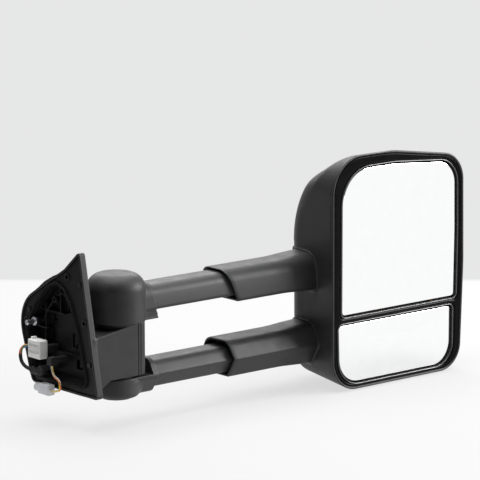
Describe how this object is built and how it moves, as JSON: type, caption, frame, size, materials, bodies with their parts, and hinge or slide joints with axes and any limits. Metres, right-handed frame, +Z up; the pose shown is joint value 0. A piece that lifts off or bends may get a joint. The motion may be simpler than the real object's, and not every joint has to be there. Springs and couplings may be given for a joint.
{
  "type": "towing mirror",
  "caption": "Extendable door-mounted towing mirror: two telescopic arms on a folding knuckle, tall head with a main glass over a wide spotter glass and a side turn lamp.",
  "frame": {"origin": "middle of the free length of the locating stud, 4.5 mm inboard of the door face", "axes": "+X outboard from the door along the arms, +Y to the front of the vehicle, +Z up; the glass faces -Y"},
  "size_m": [0.5584, 0.1625, 0.2792],
  "materials": {
    "grained_plastic": "fine leather grain, charcoal",
    "inner_plastic": "satin, black glass-filled nylon",
    "foam": "matte closed-cell foam",
    "zinc_steel": "zinc plated",
    "bright_steel": "bright",
    "spring_steel": "dark spring steel",
    "black_screw": "black phosphate",
    "bearing_plastic": "natural acetal",
    "rubber_black": "matte",
    "white_nylon": "satin",
    "grey_nylon": "satin",
    "wire_jacket": "coloured wire insulation",
    "die_cast": "as cast",
    "cast_black": "fine textured black powder coat",
    "bezel_black": "satin black",
    "amber_lens": "clear amber",
    "led_amber": "moulded diode",
    "board": "flat laminate",
    "mirror": "polished",
    "brass": "machined"
  },
  "bodies": {
    "base": {"base_bracket": "inner_plastic", "base_cover": "grained_plastic", "base_gasket": "foam", "mount_inserts": "black_screw", "locating_stud": "zinc_steel", "cover_screws": "black_screw", "pivot_bushing": "bearing_plastic", "detent_ring_fixed": "zinc_steel", "harness_boot_a": "rubber_black", "harness_boot_b": "rubber_black", "connector_white": "white_nylon", "connector_silver": "grey_nylon", "wires_a": "wire_jacket", "wires_b": "wire_jacket"},
    "arm": {"arm_casting_upper": "die_cast", "arm_casting_lower": "cast_black", "knuckle_cover": "grained_plastic", "pivot_tube": "zinc_steel", "detent_ring_moving": "zinc_steel", "detent_balls": "bright_steel", "spring_washers": "spring_steel", "spring_seat": "zinc_steel", "pivot_nut": "zinc_steel", "thrust_washer": "bearing_plastic", "lower_cap": "grained_plastic", "upper_rod": "cast_black", "lower_rod": "cast_black", "rod_screws": "black_screw", "upper_rod_shoe": "bearing_plastic", "lower_rod_shoe": "bearing_plastic"},
    "head": {"head_shell": "grained_plastic", "head_frame": "inner_plastic", "frame_screws": "black_screw", "bezel": "bezel_black", "upper_sleeve": "grained_plastic", "lower_sleeve": "grained_plastic", "upper_bush": "rubber_black", "lower_bush": "rubber_black", "indicator_lens": "amber_lens", "lamp_housing": "inner_plastic", "led_board": "board", "leds": "led_amber", "actuator_housing": "inner_plastic", "actuator_cover": "inner_plastic", "motors": "zinc_steel", "spotter_mount": "inner_plastic"},
    "main_gimbal": {"main_gimbal": "bright_steel"},
    "main_mirror": {"main_carrier": "inner_plastic", "heater_pad": "board", "main_glass": "mirror"},
    "spotter_gimbal": {"spotter_gimbal": "bright_steel"},
    "spotter_mirror": {"spotter_carrier": "inner_plastic", "spotter_glass": "mirror"},
    "jack_tilt": {"jackscrew_tilt": "white_nylon"},
    "jack_pan": {"jackscrew_pan": "white_nylon"},
    "gear_tilt": {"gear_tilt": "white_nylon"},
    "gear_pan": {"gear_pan": "white_nylon"},
    "worm_tilt": {"worm_tilt": "brass"},
    "worm_pan": {"worm_pan": "brass"}
  },
  "joints": [
    {"name": "fold", "type": "hinge", "parent": "base", "child": "arm", "pos_m": [0.0625, -0.077, 0], "axis": [0, 0, 1], "range_deg": [-75, 45]},
    {"name": "extend", "type": "slide", "parent": "arm", "child": "head", "axis": [1, 0, 0], "range_m": [-0.095, 0]},
    {"name": "main_tilt", "type": "hinge", "parent": "head", "child": "main_gimbal", "pos_m": [0.4455, -0.125, 0.0645], "axis": [1, 0, 0], "range_deg": [-5, 5]},
    {"name": "main_pan", "type": "hinge", "parent": "main_gimbal", "child": "main_mirror", "pos_m": [0.4455, -0.125, 0.0645], "axis": [0, 0, 1], "range_deg": [-5, 5]},
    {"name": "spotter_tilt", "type": "hinge", "parent": "head", "child": "spotter_gimbal", "pos_m": [0.4395, -0.125, -0.0685], "axis": [1, 0, 0], "range_deg": [-6, 6]},
    {"name": "spotter_pan", "type": "hinge", "parent": "spotter_gimbal", "child": "spotter_mirror", "pos_m": [0.4395, -0.125, -0.0685], "axis": [0, 0, 1], "range_deg": [-6, 6]},
    {"name": "jack_tilt_slide", "type": "slide", "parent": "head", "child": "jack_tilt", "axis": [0, 1, 0], "range_m": [-0.0025, 0.0025]},
    {"name": "jack_pan_slide", "type": "slide", "parent": "head", "child": "jack_pan", "axis": [0, 1, 0], "range_m": [-0.0025, 0.0025]},
    {"name": "gear_tilt_spin", "type": "hinge", "parent": "head", "child": "gear_tilt", "pos_m": [0.4455, -0.1132, 0.0925], "axis": [0, 1, 0], "range_deg": [-300, 300]},
    {"name": "gear_pan_spin", "type": "hinge", "parent": "head", "child": "gear_pan", "pos_m": [0.4735, -0.1132, 0.0645], "axis": [0, 1, 0], "range_deg": [-300, 300]},
    {"name": "worm_tilt_spin", "type": "hinge", "parent": "head", "child": "worm_tilt", "pos_m": [0.4455, -0.1132, 0.1049], "axis": [1, 0, 0], "range_deg": [-7200, 7200]},
    {"name": "worm_pan_spin", "type": "hinge", "parent": "head", "child": "worm_pan", "pos_m": [0.4859, -0.1132, 0.0645], "axis": [0, 0, 1], "range_deg": [-7200, 7200]}
  ],
  "couplings": [
    {"joint": "jack_tilt_slide", "follows": "main_tilt", "m_per_rad": -0.028},
    {"joint": "jack_pan_slide", "follows": "main_pan", "m_per_rad": 0.028},
    {"joint": "gear_tilt_spin", "follows": "main_tilt", "ratio": -58.643},
    {"joint": "gear_pan_spin", "follows": "main_pan", "ratio": 58.643},
    {"joint": "worm_tilt_spin", "follows": "main_tilt", "ratio": -1407.4},
    {"joint": "worm_pan_spin", "follows": "main_pan", "ratio": 1407.4}
  ]
}
